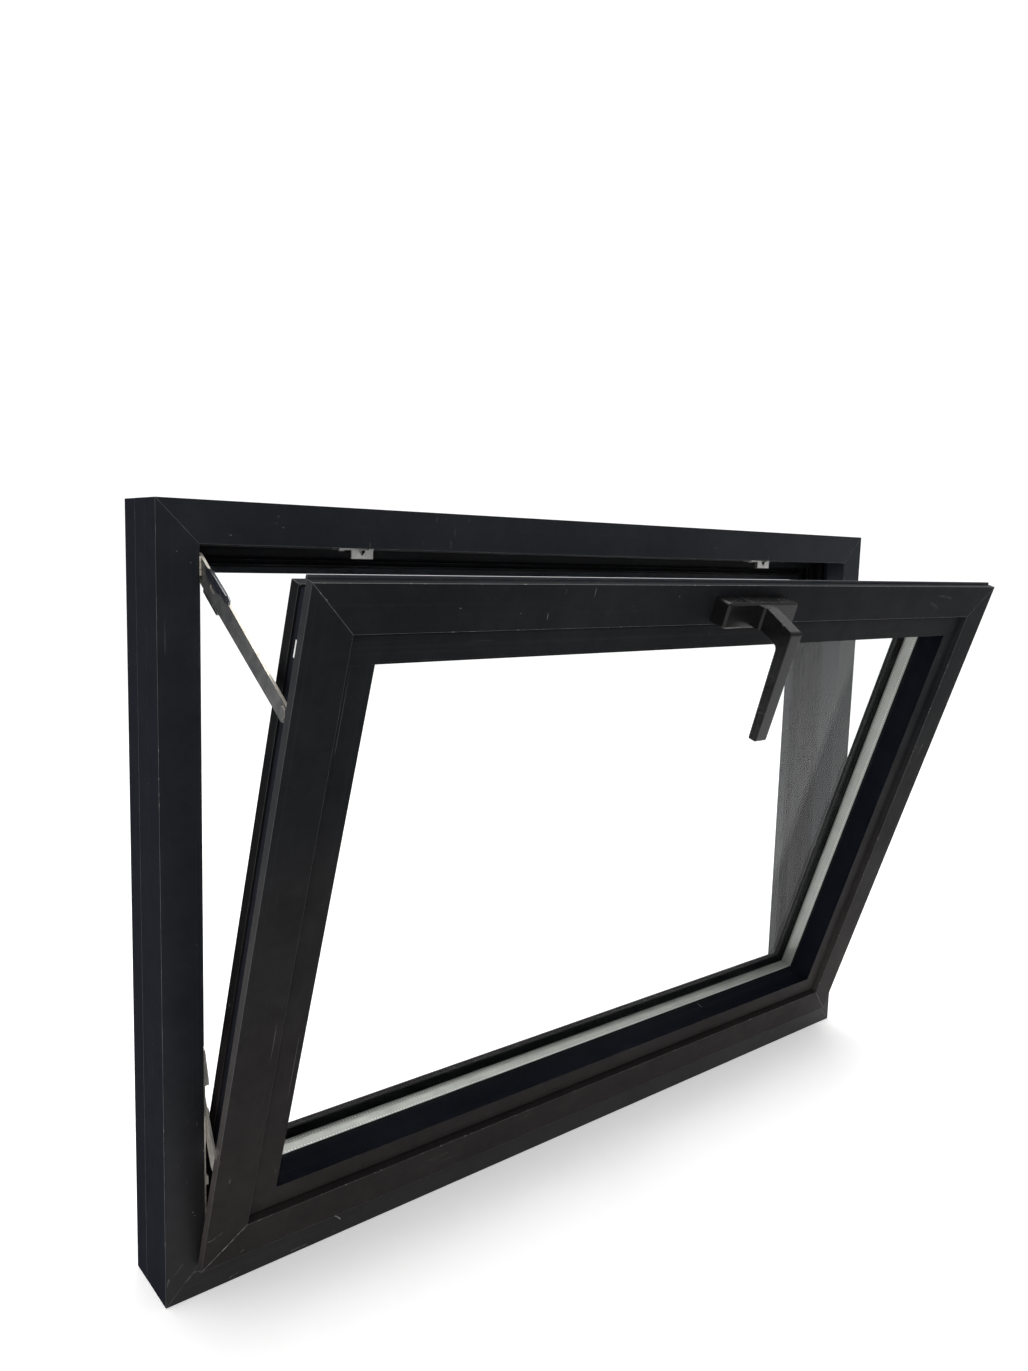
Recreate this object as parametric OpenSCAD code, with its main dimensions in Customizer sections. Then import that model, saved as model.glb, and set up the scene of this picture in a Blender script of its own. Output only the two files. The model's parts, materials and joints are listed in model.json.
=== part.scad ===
// Bottom-hung inward-opening aluminium window, shown with its sash leaning into the room.
// Millimetres, +Z up, room side towards -Y, origin under the middle of the sill's room-side profile.

/* [Window] */
// overall width of the fixed frame
frame_width = 986; // [800:2:1300]
// overall height of the fixed frame
frame_height = 700; // [620:2:900]
// how far the open sash leans into the room, in degrees
open_angle = 17.8; // [14:0.2:18]

/* [Fixed frame] */
// visible width of the frame members on the room side
frame_face = 36; // [36:1:40]
// height of the outer stop leg above the rebate floor
stop_leg = 25; // [20:1:26]
// general wall thickness of the aluminium profiles
wall = 2; // [1.6:0.1:2.2]

/* [Sash] */
// how far the sash flange laps over the frame face at the sides
side_lap = 8; // [6:0.5:8]
// thickness of the room-side flange of the sash
flange = 8.5; // [8:0.1:9]
// width of the flange face before the glazing bead
flange_face = 38.5; // [38:0.1:39]
// distance from sash edge to the clear glass
sight_line = 64.75; // [62:0.25:68]
// how much higher the weather-side glazing leg stands than the bead
leg_rise = 4.5; // [1:0.5:6]
// set-back of the glazing bead behind the flange
bead_back = 6; // [5:0.5:8]

/* [Glass unit] */
// thickness of each pane
pane = 4; // [4:0.5:5]
// width of the gap between the panes
cavity = 16; // [14:0.5:16]

/* [Handle] */
// length of the handle rosette
rosette_length = 103; // [90:0.5:120]
// height of the handle rosette
rosette_height = 25; // [24:0.2:28]
// how far the rosette stands off the sash
rosette_depth = 18.2; // [15:0.2:20]
// width of the lever
lever_width = 15.8; // [14:0.2:18]
// distance from the spindle axis down to the lever tip
lever_reach = 111; // [95:1:130]

/* [Stay] */
// width of the stay arm at its jamb pivot
arm_wide = 20; // [16:1:20]
// width of the stay arm at its sash pivot
arm_narrow = 15; // [12:1:15]
// distance of the keeps from the middle of the head
keep_offset = 296; // [240:2:320]

/* [Hidden] */
// fixed frame, depth measured from the room face
frame_depth = 70;
inner_depth = 26;
outer_front = 44;
stop_front = 59.5;
leg_top = frame_face + stop_leg;
strip = 2.4;
strip_seat = 2;
frame_strip_high = 28.3;
mid_depth = inner_depth / 2;
skin = 0.3;

// closed sash, measured from the outer bottom edge of its flange
sash_front = -11.5;
sash_foot = 28.5;
sash_margin = frame_face - side_lap;
sash_width = frame_width - 2 * sash_margin;
sash_height = frame_height - 56;
sash_depth = 68;
body_inset = 20;
outer_inset = 21.2;
sash_inner_back = 44;
sash_outer_front = 56;
groove_mid = 31;
groove_slot = 11.5;
groove_width = 19;
groove_lip = 2.2;
groove_floor = 9;
floor_wall = 2;
leg_front = 63.4;
leg_q = sight_line + leg_rise;
sash_strips = [23.3, 33.4];

// hinge axis and hinge plates
axis_y = -7;
axis_z = 33.5;
axis_n = axis_y - sash_front;
axis_v = axis_z - sash_foot;
knuckle = 3;
pin_radius = 1.5;
leaf_thick = 2.5;
link_n = 28;
link_v = 94.5;
link_length = 45;
link_y = 8;
link_tail = 15;
hinge_top = 232;

// glass
inner_glass = 36.4;
outer_glass = inner_glass + pane + cavity;
glass_edge = 48;
spacer_edge = 54;
spacer_face = 60;

// handle
handle_v = sash_height - body_inset - 3.55;
neck_front = 27;
lever_front = 60.5;
neck_round = 3;
elbow_steps = 8;
spindle = 7;
crank_radius = 10;
crank_pin = 2;
pin_play = 0.6;
rod_travel = 2 * crank_radius * sin(45);
rod_low = sash_height - body_inset - 5;
rod_thick = 2.5;
rod_half = 7.5;
cam_radius = 4;
cam_start = -16.5;
cam_top = sash_height - 12.2;

// keeps, measured from the head
keep_wide = 23;
keep_front = 13;
keep_deep = 13;
keep_drop = 9.4;

// stay
stay_y = 10;
stay_z = frame_height - 53;
stay_v = sash_height - 111;
stay_pin = 3;
arm_x = frame_face + 2.3;
arm_thick = 2.5;
clip_thick = 1.2;
guide_thick = 1.8;
collar_gap = 0.4;
slider_length = 30;

// fixing screws as [depth, height]
screw_hole = 1.7;
jamb_screws = [[12, 70], [12, 95], [12, 215], [17, stay_z - 22], [14, stay_z + 8]];
leaf_screws = [[16, 34], [30, 34], [16, 66]];
head_high = 1.2;
bracket_thick = 0.8;
tab_thick = 2;

// points along an arc, ends included
function arc(centre, r, from, to) = [
    for (i = [0:elbow_steps])
        let (a = from + (to - from) * i / elbow_steps)
            [centre[0] + r * cos(a), centre[1] + r * sin(a)]
];

// where a point of the sash stands once the sash is open, as [y, z]
function opened(n, v) = [
    axis_y + (n - axis_n) * cos(open_angle) - (v - axis_v) * sin(open_angle),
    axis_z + (n - axis_n) * sin(open_angle) + (v - axis_v) * cos(open_angle)
];
stay_end = opened(groove_mid, stay_v);
stay_dy = stay_y - stay_end[0];
stay_dz = stay_z - stay_end[1];
stay_length = sqrt(stay_dy * stay_dy + stay_dz * stay_dz);
stay_angle = atan2(stay_dy, stay_dz);
link_foot = opened(link_n, link_v);
link_angle = asin((link_y - link_foot[0]) / link_length);
link_head_z = link_foot[1] + link_length * cos(link_angle);

// slot in the hinge plate that the upper rivet of the friction link rides in
slot_y = link_y + 0.2;
slot_z = link_head_z + 2;
slot_half = 3.4;
slot_radius = 3.05;

coat = [0.14, 0.15, 0.17];
black = [0.06, 0.06, 0.06];
bright = [0.72, 0.72, 0.70];
steel = [0.60, 0.60, 0.58];
clear = [0.75, 0.85, 0.85, 0.35];

// ---------- placing ----------

// frame coordinates: room face of the frame at y 0, moved so the origin lies under its room-side profile
module in_frame() {
    translate([0, -mid_depth, 0])
        children();
}

// closed sash turned about the hinge axis into its open place
module in_open() {
    in_frame()
        translate([0, axis_y, axis_z])
            rotate([open_angle, 0, 0])
                translate([0, -axis_y, -axis_z])
                    children();
}

// sash coordinates: y is the depth behind the sash face, z the height above its lower edge
module in_sash() {
    in_open()
        translate([0, sash_front, sash_foot])
            children();
}

// a depth-height section drawn out along x
module along_x(length) {
    rotate([90, 0, 90])
        linear_extrude(height = length, center = true)
            children();
}

// a depth-height plate standing at x, growing towards +x
module plate_at(x, thick) {
    translate([x, 0, 0])
        rotate([90, 0, 90])
            linear_extrude(height = thick)
                children();
}

// a member of a rectangle w by h: 0 bottom, 1 left, 2 top, 3 right
module on_side(side, w, h) {
    if (side == 0)
        children();
    if (side == 1)
        translate([-w / 2, 0, h / 2])
            rotate([0, 90, 0])
                children();
    if (side == 2)
        translate([0, 0, h])
            mirror([0, 0, 1])
                children();
    if (side == 3)
        mirror([1, 0, 0])
            translate([-w / 2, 0, h / 2])
                rotate([0, 90, 0])
                    children();
}

// a section cut to 45 degrees at both ends
module mitred(length, reach) {
    out = 10;
    intersection() {
        along_x(length + 4 * out)
            children();
        translate([0, 100, 0])
            rotate([90, 0, 0])
                linear_extrude(height = 200)
                    polygon([
                        [-length / 2 - out, -out], [length / 2 + out, -out],
                        [length / 2 - reach, reach], [-length / 2 + reach, reach]
                    ]);
    }
}

// four mitred lengths of one section round the frame, a hair apart at the corners
module frame_ring(reach) {
    for (side = [0:3])
        on_side(side, frame_width, frame_height)
            mitred((side % 2 == 0 ? frame_width : frame_height) - 2 * skin, reach)
                children();
}

module sash_ring(reach) {
    for (side = [0:3])
        on_side(side, sash_width, sash_height)
            mitred((side % 2 == 0 ? sash_width : sash_height) - 2 * skin, reach)
                children();
}

// the same part on the left and, mirrored, on the right
module both_sides() {
    children();
    mirror([1, 0, 0])
        children();
}

// ---------- fixed frame ----------

// seats for the flush outer strip and the inner strip
module strip_seats(depth) {
    translate([depth, -1])
        square([strip_seat + 1, strip + 1]);
    translate([depth, frame_strip_high])
        square([strip_seat + 1, strip]);
}

module frame_section() {
    difference() {
        square([inner_depth, frame_face]);
        translate([wall, wall])
            square([inner_depth - wall - 4, frame_face - 2 * wall]);
        strip_seats(inner_depth - strip_seat);
    }
    difference() {
        polygon([
            [outer_front, 0], [frame_depth, 0], [frame_depth, leg_top],
            [stop_front, leg_top], [stop_front, frame_face], [outer_front, frame_face]
        ]);
        polygon([
            [outer_front + 4, wall], [frame_depth - wall, wall],
            [frame_depth - wall, leg_top - wall], [stop_front + wall, leg_top - wall],
            [stop_front + wall, frame_face - wall], [outer_front + 4, frame_face - wall]
        ]);
        strip_seats(outer_front - 1);
    }
}

module frame_member(side) {
    on_side(side, frame_width, frame_height)
        mitred(side % 2 == 0 ? frame_width : frame_height, leg_top + 10)
            frame_section();
}

module frame_head() {
    color(coat)
        in_frame()
            difference() {
                frame_member(2);
                for (s = [-1, 1], dx = [-18, 8])
                    translate([s * keep_offset + dx, 19.5, frame_height - frame_face - 1])
                        cylinder(r = 1.6, h = wall + 2, $fn = 24);
            }
}

module frame_sill() {
    color(coat)
        in_frame()
            difference() {
                frame_member(0);
                for (x = [-300, 300])
                    translate([x - 12.5, frame_depth - wall - 1, 6])
                        cube([25, wall + 2, 5]);
            }
}

module frame_jamb(screws) {
    difference() {
        frame_member(1);
        for (i = [0:screws - 1])
            translate([-frame_width / 2 + frame_face - wall - 1, jamb_screws[i][0], jamb_screws[i][1]])
                rotate([0, 90, 0])
                    cylinder(r = 1.6, h = wall + 2, $fn = 24);
    }
}

module frame_jamb_left() {
    color(coat)
        in_frame()
            frame_jamb(5);
}

module frame_jamb_right() {
    color(coat)
        in_frame()
            mirror([1, 0, 0])
                frame_jamb(3);
}

module frame_thermal_strips() {
    color(black)
        in_frame()
            for (r = [0, frame_strip_high])
                frame_ring(leg_top)
                    translate([inner_depth - strip_seat, r])
                        square([outer_front - inner_depth + 2 * strip_seat, strip]);
}

module corner_cleat(x0, z0, arm, high) {
    translate([x0, 0, z0]) {
        cube([arm, high, 12]);
        cube([12, high, arm]);
    }
}

module frame_corner_cleats() {
    color(bright)
        in_frame()
            for (mx = [0, 1], mz = [0, 1])
                mirror([mx, 0, 0])
                    translate([0, 0, mz * frame_height])
                        mirror([0, 0, mz]) {
                            translate([0, wall + 1, 0])
                                corner_cleat(-frame_width / 2 + 12, 12, 60, 18);
                            translate([0, outer_front + 5, 0])
                                corner_cleat(-frame_width / 2 + 12, 12, 60, 12);
                        }
}

module centre_gasket_section() {
    polygon([
        [36, 31], [43.8, 31], [43.8, 36.5], [46.2, 43.5], [44.6, 44.6], [41.2, 37.6], [36, 36.5]
    ]);
}

module frame_centre_gasket() {
    color(black)
        in_frame()
            difference() {
                frame_ring(leg_top)
                    centre_gasket_section();
                translate([-frame_width / 2 + frame_face + 0.6, 30, stay_z - 205])
                    cube([20, 20, 120]);
            }
}

module stop_gasket_section() {
    base = stop_front;
    polygon([
        [base, 41], [base - 1, 41], [base - 1, 43], [base - 2, 44], [base - 1, 45],
        [base - 1, 47], [base - 2, 48], [base - 1, 49], [base - 1, 51],
        [base - 2.2, 52.5], [base - 1, 54], [base - 1, 55], [base, 55]
    ]);
}

module frame_stop_gasket() {
    color(black)
        in_frame()
            frame_ring(leg_top)
                stop_gasket_section();
}

module frame_drain_caps() {
    color(black)
        in_frame()
            for (x = [-300, 300])
                translate([x, frame_depth, 4])
                    difference() {
                        translate([-17, 0, 0])
                            cube([34, 5, 11]);
                        translate([-14, -1, -1])
                            cube([28, 4, 8]);
                    }
}

// ---------- keeps on the head ----------

module keep() {
    top = frame_height - frame_face;
    difference() {
        union() {
            translate([-24, keep_front, top - 1.5])
                cube([36, keep_deep, 1.5]);
            translate([-keep_wide / 2, keep_front, top - keep_drop])
                cube([keep_wide, keep_deep, keep_drop]);
        }
        translate([-keep_wide / 2 - 1, keep_front + 2.2, top - keep_drop - 1])
            cube([18.5, 8.6, keep_drop - 0.7]);
        translate([-18, keep_front + keep_deep / 2, top - 3])
            cylinder(r = 1.8, h = 4, $fn = 24);
        translate([8, keep_front + keep_deep / 2, top - keep_drop - 1])
            cylinder(r = 1.8, h = keep_drop + 2, $fn = 24);
        translate([8, keep_front + keep_deep / 2, top - keep_drop - 1])
            cylinder(r = 3.1, h = head_high + 1.4, $fn = 24);
        translate([-keep_wide / 2 - 1, keep_front + 2.2, top - keep_drop - 1])
            cube([keep_wide / 2 + 1, keep_deep, keep_drop - 0.7]);
        translate([0, keep_front + 2.6, top])
            rotate([90, 0, 0])
                linear_extrude(height = 4)
                    polygon([
                        [-7, 1], [-7, -1], [-2.9, -1.5], [-3.2, -3], [-0.2, -6.5],
                        [3.1, -3], [2.6, -1.5], [7, -1], [7, 1]
                    ]);
    }
}

module keep_left() {
    color(bright)
        in_frame()
            translate([-keep_offset, 0, 0])
                keep();
}

module keep_right() {
    color(bright)
        in_frame()
            translate([keep_offset, 0, 0])
                keep();
}

module small_screw(head_radius, shank_radius, length) {
    translate([0, 0, -head_high])
        cylinder(r = head_radius, h = head_high, $fn = 24);
    cylinder(r = shank_radius, h = length, $fn = 24);
}

module keep_screws() {
    top = frame_height - frame_face;
    color(steel)
        in_frame()
            for (s = [-1, 1]) {
                translate([s * keep_offset - 18, 19.5, top - 1.5])
                    small_screw(2.9, 1.55, 9);
                translate([s * keep_offset + 8, 19.5, top - keep_drop + head_high + 0.2])
                    small_screw(2.9, 1.55, 15);
            }
}

// ---------- bottom hinges ----------

module hinge_plate() {
    x0 = -frame_width / 2 + frame_face;
    difference() {
        union() {
            plate_at(x0, leaf_thick)
                polygon([
                    [3, 38], [21, 38], [21, hinge_top - 6],
                    [15, hinge_top], [9, hinge_top], [3, hinge_top - 6]
                ]);
            plate_at(x0 + 1, 4)
                union() {
                    polygon([
                        [-9.2, 35.5], [-5, 31.2], [-0.5, 36.4], [18, 38],
                        [18, 48], [6, 52], [-1, 44]
                    ]);
                    translate([axis_y, axis_z])
                        circle(r = knuckle, $fn = 36);
                }
            translate([0, 8, 0])
                rotate([90, 0, 0])
                    linear_extrude(height = 4)
                        polygon([
                            [x0 + 1, 192.5], [x0 + 6.4, 192.5], [x0 + 6.4, 196],
                            [x0 + 3, hinge_top - 6], [x0 + 1, hinge_top - 6]
                        ]);
            translate([x0 + 1, 4, 99.5])
                cube([4, 6, 8]);
        }
        plate_at(x0 - 1, 10)
            translate([axis_y, axis_z])
                circle(r = pin_radius + 0.05, $fn = 32);
        plate_at(x0 - 1, 10)
            for (e = [-1, 1])
                translate([slot_y, slot_z + e * slot_half])
                    circle(r = slot_radius, $fn = 32);
        plate_at(x0 - 1, 10)
            translate([slot_y - slot_radius, slot_z - slot_half])
                square([2 * slot_radius, 2 * slot_half]);
        for (i = [0:2])
            plate_at(x0 - 1, 10)
                translate(jamb_screws[i])
                    circle(r = screw_hole, $fn = 24);
    }
}

module hinge_plate_left() {
    color(steel)
        in_frame()
            hinge_plate();
}

module hinge_plate_right() {
    color(steel)
        in_frame()
            mirror([1, 0, 0])
                hinge_plate();
}

module frame_hardware_screws() {
    x0 = -frame_width / 2 + frame_face;
    color(steel)
        in_frame() {
            both_sides()
                for (i = [0:2])
                    translate([x0 + leaf_thick, jamb_screws[i][0], jamb_screws[i][1]])
                        rotate([0, -90, 0])
                            small_screw(3, 1.55, 12);
            for (i = [3, 4])
                translate([x0 + 0.7, jamb_screws[i][0], jamb_screws[i][1]])
                    rotate([0, -90, 0])
                        small_screw(3, 1.55, 12);
        }
}

module hinge_leaf() {
    x0 = -sash_width / 2 + body_inset - leaf_thick;
    difference() {
        union() {
            plate_at(x0, leaf_thick)
                polygon([
                    [10.5, 21], [36, 21], [38, 24], [38, link_v + 8], [34, link_v + 12],
                    [22, link_v + 12], [18, link_v + 8], [18, 80], [10.5, 72]
                ]);
            plate_at(x0 - 3.6, 3.6 + leaf_thick)
                union() {
                    polygon([[1.9, 6.5], [6.3, 2.8], [22, 19.4], [22, 28], [12, 28], [10.5, 20]]);
                    translate([axis_n, axis_v])
                        circle(r = knuckle, $fn = 36);
                }
        }
        plate_at(x0 - 6, 12)
            translate([axis_n, axis_v])
                circle(r = pin_radius + 0.05, $fn = 32);
        plate_at(x0 - 6, 12)
            translate([link_n, link_v])
                circle(r = 2.55, $fn = 32);
        for (p = leaf_screws)
            plate_at(x0 - 6, 12)
                translate([p[0], p[1]])
                    circle(r = screw_hole, $fn = 24);
    }
}

module hinge_leaf_left() {
    color(steel)
        in_sash()
            hinge_leaf();
}

module hinge_leaf_right() {
    color(steel)
        in_sash()
            mirror([1, 0, 0])
                hinge_leaf();
}

module hinge_pins() {
    color(bright)
        in_sash()
            both_sides()
                plate_at(-sash_width / 2 + side_lap + 0.4, body_inset - side_lap - 0.5)
                    translate([axis_n, axis_v])
                        circle(r = pin_radius, $fn = 32);
}

module sash_hardware_screws() {
    x0 = -sash_width / 2 + body_inset - leaf_thick;
    color(steel)
        in_sash()
            both_sides()
                for (p = leaf_screws)
                    translate([x0, p[0], p[1]])
                        rotate([0, 90, 0])
                            small_screw(3, 1.55, 6);
}

module friction_link() {
    x0 = -frame_width / 2 + frame_face + 3;
    foot = [link_n, link_v];
    turn = link_angle + open_angle;
    head = [link_n + link_length * sin(turn), link_v + link_length * cos(turn)];
    side = [cos(turn), -sin(turn)];
    tip = head + link_tail * [sin(turn), cos(turn)];
    plate_at(x0, 2) {
        translate(foot)
            circle(r = 7, $fn = 40);
        translate(head)
            circle(r = 5, $fn = 40);
        polygon([foot + 7 * side, head + 5 * side, head - 5 * side, foot - 7 * side]);
        translate(tip)
            circle(r = 5.5, $fn = 40);
        polygon([head + 4.9 * side, tip + 5.4 * side, tip - 5.4 * side, head - 4.9 * side]);
    }
    plate_at(x0 + 1, -sash_width / 2 + body_inset - x0 - 1)
        translate(foot)
            circle(r = 2.5, $fn = 32);
    plate_at(x0 + 1, 3)
        translate(foot)
            circle(r = 4.2, $fn = 32);
    plate_at(x0 - 2.7, 3)
        translate(head)
            circle(r = 2.5, $fn = 32);
    plate_at(x0 + 1, 2.6)
        translate(head)
            circle(r = 3.8, $fn = 32);
}

module friction_link_left() {
    color(steel)
        in_sash()
            friction_link();
}

module friction_link_right() {
    color(steel)
        in_sash()
            mirror([1, 0, 0])
                friction_link();
}

// ---------- sash ----------

module sash_section() {
    floor_q = body_inset + groove_floor;
    g0 = groove_mid - groove_width / 2;
    g1 = groove_mid + groove_width / 2;
    difference() {
        polygon([
            [0, 0], [0, flange_face], [sash_inner_back, flange_face],
            [sash_inner_back, body_inset], [flange, body_inset], [flange, 0]
        ]);
        polygon([
            [wall, wall], [flange - wall, wall], [flange - wall, body_inset + wall],
            [g0 - wall, body_inset + wall], [g0 - wall, floor_q + floor_wall],
            [g1 - 0.5, floor_q + floor_wall], [g1 - 0.5, flange_face - wall],
            [wall, flange_face - wall]
        ]);
        translate([groove_mid - groove_slot / 2, body_inset - 1])
            square([groove_slot, groove_lip + 2]);
        translate([g0, body_inset + groove_lip])
            square([groove_width, groove_floor - groove_lip]);
        for (q = sash_strips)
            translate([sash_inner_back - strip_seat, q])
                square([strip_seat + 1, strip]);
    }
    difference() {
        polygon([
            [sash_outer_front, outer_inset], [sash_depth, outer_inset],
            [sash_depth, leg_q], [leg_front, leg_q],
            [leg_front, flange_face], [sash_outer_front, flange_face]
        ]);
        polygon([
            [sash_outer_front + 4, outer_inset + wall], [sash_depth - wall, outer_inset + wall],
            [sash_depth - wall, flange_face - wall], [sash_outer_front + 4, flange_face - wall]
        ]);
        for (q = sash_strips)
            translate([sash_outer_front - 1, q])
                square([strip_seat + 1, strip]);
    }
}

module sash_member(side) {
    on_side(side, sash_width, sash_height)
        mitred(side % 2 == 0 ? sash_width : sash_height, sight_line + 15)
            sash_section();
}

// room in the back of the flange for the hinge knuckles, and the leaf screw holes
module hinge_reliefs() {
    both_sides() {
        translate([-sash_width / 2 + side_lap + 0.2, 1.2, 1.7])
            cube([body_inset - side_lap + 0.3, flange, 15.8]);
        for (p = leaf_screws)
            translate([-sash_width / 2 + body_inset - 1, p[0], p[1]])
                rotate([0, 90, 0])
                    cylinder(r = 1.6, h = wall + 2, $fn = 24);
    }
}

module sash_top_rail() {
    color(coat)
        in_sash()
            difference() {
                sash_member(2);
                translate([0, -1, handle_v])
                    rotate([-90, 0, 0])
                        cylinder(r = 7, h = 13, $fn = 40);
                translate([-18, 9.5, sash_height - flange_face + wall])
                    cube([36, groove_mid - 9.5 - groove_slot / 2 + 1, 25]);
                for (s = [-1, 1])
                    translate([s * 38, -1, handle_v])
                        rotate([-90, 0, 0])
                            cylinder(r = 2.3, h = wall + 2, $fn = 24);
            }
}

module sash_bottom_rail() {
    color(coat)
        in_sash()
            difference() {
                sash_member(0);
                hinge_reliefs();
            }
}

module sash_stile_left() {
    color(coat)
        in_sash()
            difference() {
                sash_member(1);
                hinge_reliefs();
            }
}

module sash_stile_right() {
    color(coat)
        in_sash()
            difference() {
                sash_member(3);
                hinge_reliefs();
            }
}

module sash_thermal_strips() {
    color(black)
        in_sash()
            for (q = sash_strips)
                sash_ring(sight_line)
                    translate([sash_inner_back - strip_seat, q])
                        square([sash_outer_front - sash_inner_back + 2 * strip_seat, strip]);
}

module sash_corner_cleats() {
    color(bright)
        in_sash()
            for (mx = [0, 1], mz = [0, 1])
                mirror([mx, 0, 0])
                    translate([0, 0, mz * sash_height])
                        mirror([0, 0, mz])
                            translate([0, flange + 1.5, 0])
                                corner_cleat(-sash_width / 2 + 24, 24, 48, 8.5);
}

module sash_overlap_gasket() {
    color(black)
        in_sash() {
            difference() {
                sash_ring(20)
                    polygon([
                        [flange, 3.6], [flange + 1.4, 3.6], [flange + 2, 4.6],
                        [flange + 1.4, 6.8], [flange, 6.8]
                    ]);
                both_sides()
                    translate([-sash_width / 2 + side_lap - 0.4, 0, 0])
                        cube([body_inset - side_lap + 1, 20, 17]);
            }
            on_side(2, sash_width, sash_height)
                along_x(sash_width - 1)
                    polygon([
                        [flange, 3.3], [flange, -0.8], [flange + 0.6, -2.4],
                        [flange + 2.4, -2.2], [flange + 2.7, 0.2], [flange + 2.7, 3.3]
                    ]);
        }
}

// ---------- glazing ----------

module bead_section() {
    q0 = flange_face + 0.3;
    back = inner_glass - 3;
    round = 4;
    difference() {
        union() {
            translate([bead_back + round, q0 + round])
                circle(r = round, $fn = 48);
            translate([bead_back + round, q0])
                square([back - bead_back - round, sight_line - q0]);
            translate([bead_back, q0 + round])
                square([round + 1, sight_line - q0 - round]);
        }
        translate([bead_back + 1.8, q0 + 6])
            square([back - bead_back - 3.6, sight_line - q0 - 7.6]);
        translate([bead_back + 10, q0 - 1])
            square([back - bead_back - 18, 5]);
    }
}

module long_bead(side) {
    on_side(side, sash_width, sash_height)
        along_x(sash_width - 2 * flange_face - 0.8)
            bead_section();
}

module short_bead(side) {
    on_side(side, sash_width, sash_height)
        along_x(sash_height - 2 * sight_line - 0.4)
            bead_section();
}

module bead_top() {
    color(coat)
        in_sash()
            long_bead(2);
}

module bead_bottom() {
    color(coat)
        in_sash()
            long_bead(0);
}

module bead_left() {
    color(coat)
        in_sash()
            short_bead(1);
}

module bead_right() {
    color(coat)
        in_sash()
            short_bead(3);
}

module pane_at(depth) {
    translate([-sash_width / 2 + glass_edge, depth, glass_edge])
        cube([sash_width - 2 * glass_edge, pane, sash_height - 2 * glass_edge]);
}

module glass_inner() {
    color(clear)
        in_sash()
            pane_at(inner_glass);
}

module glass_outer() {
    color(clear)
        in_sash()
            pane_at(outer_glass);
}

module glass_spacer() {
    color(bright)
        in_sash()
            sash_ring(sight_line + 10)
                translate([inner_glass + pane, spacer_edge])
                    difference() {
                        square([cavity, spacer_face - spacer_edge]);
                        translate([1, 1])
                            square([cavity - 2, spacer_face - spacer_edge - 2]);
                    }
}

module glass_sealant() {
    color(black)
        in_sash()
            sash_ring(sight_line + 10)
                translate([inner_glass + pane, glass_edge + 0.5])
                    square([cavity, spacer_edge - glass_edge - 0.5]);
}

module glazing_gasket_inner() {
    color(black)
        in_sash()
            sash_ring(sight_line + 10)
                polygon([
                    [inner_glass - 3, 56], [inner_glass, 56], [inner_glass, 65.3],
                    [inner_glass - 1.4, 65], [inner_glass - 3, sight_line - 0.4]
                ]);
}

module glazing_gasket_outer() {
    color(black)
        in_sash()
            sash_ring(sight_line + 10)
                polygon([
                    [outer_glass + pane, 55], [leg_front, 55], [leg_front, leg_q - 0.6],
                    [outer_glass + pane + 1.4, leg_q + 0.3], [outer_glass + pane, leg_q + 0.45]
                ]);
}

module setting_blocks() {
    color(black)
        in_sash()
            for (x = [-280, 280])
                translate([x - 40, inner_glass + 0.6, flange_face])
                    cube([80, outer_glass + pane - inner_glass - 1.2, glass_edge - flange_face]);
}

// ---------- handle ----------

// neck between rosette and lever, its front corners rounded
module handle_neck() {
    half = lever_width / 2 + 2;
    hull() {
        for (side = [-1, 1])
            translate([side * (half - neck_round), -neck_front + neck_round + 0.3, -10.8])
                cylinder(r = neck_round, h = 21.6, $fn = 40);
        translate([-half, -rosette_depth, -10.8])
            cube([2 * half, 1, 21.6]);
    }
}

module handle_cover() {
    edge = 4;
    color(coat)
        in_sash()
            translate([0, 0, handle_v])
                difference() {
                    union() {
                        hull()
                            for (x = [-1, 1], z = [-1, 1])
                                translate([
                                    x * (rosette_length / 2 - edge), 0, z * (rosette_height / 2 - edge)
                                ])
                                    rotate([90, 0, 0]) {
                                        cylinder(r = edge, h = rosette_depth - 2, $fn = 28);
                                        cylinder(r = edge - 2, h = rosette_depth, $fn = 28);
                                    }
                        handle_neck();
                    }
                    translate([
                        -rosette_length / 2 + 2, -rosette_depth + 2.2, -rosette_height / 2 + 2
                    ])
                        cube([rosette_length - 4, rosette_depth, rosette_height - 4]);
                    rotate([90, 0, 0])
                        cylinder(r = 5.3, h = neck_front + 1, $fn = 40);
                }
}

module handle_base() {
    color(bright)
        in_sash()
            translate([0, 0, handle_v])
                difference() {
                    translate([-rosette_length / 2 + 2.2, -5, -rosette_height / 2 + 2.2])
                        cube([rosette_length - 4.4, 5, rosette_height - 4.4]);
                    rotate([90, 0, 0])
                        translate([0, 0, -1])
                            cylinder(r = 5.3, h = 8, $fn = 40);
                    for (s = [-1, 1])
                        translate([s * 38, 1, 0])
                            rotate([90, 0, 0])
                                cylinder(r = 2.5, h = 8, $fn = 24);
                }
}

module handle_screws() {
    color(steel)
        in_sash()
            for (s = [-1, 1])
                translate([s * 38, -5, handle_v])
                    rotate([-90, 0, 0]) {
                        translate([0, 0, -2])
                            cylinder(r = 4, h = 2, $fn = 24);
                        cylinder(r = 2.2, h = 11.2, $fn = 24);
                    }
}

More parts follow.
